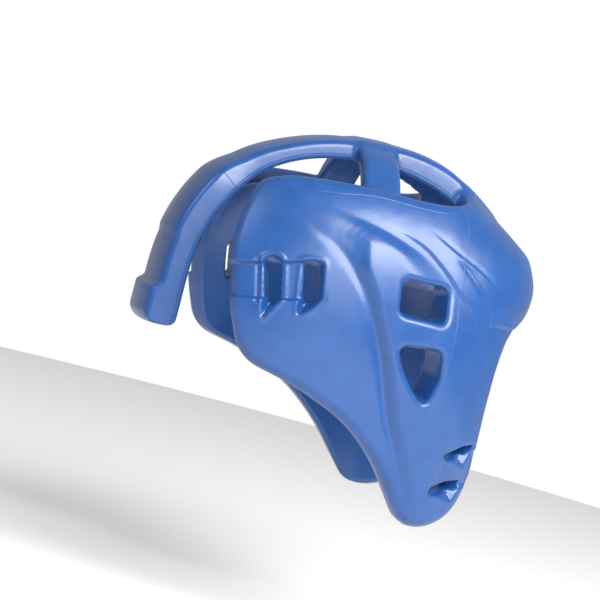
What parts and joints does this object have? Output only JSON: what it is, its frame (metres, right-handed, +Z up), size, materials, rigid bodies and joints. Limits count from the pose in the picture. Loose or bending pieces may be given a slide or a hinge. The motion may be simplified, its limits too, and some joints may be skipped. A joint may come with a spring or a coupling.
{
  "type": "taekwondo headgear",
  "caption": "Moulded foam sparring helmet with an open face, ear windows, cheek flaps and a strip over the crown that ends in a tail pad.",
  "frame": {"origin": "inside of the crown strip, where the top of the wearer's head touches it", "axes": "+Z up, the face looks to -Y, +X is the wearer's left; the part is symmetric across X"},
  "size_m": [0.1985, 0.2404, 0.2199],
  "materials": {
    "dipped_foam": "satin vinyl skin over closed-cell foam"
  },
  "bodies": {
    "root": {"foam_shell": "dipped_foam"}
  },
  "joints": []
}
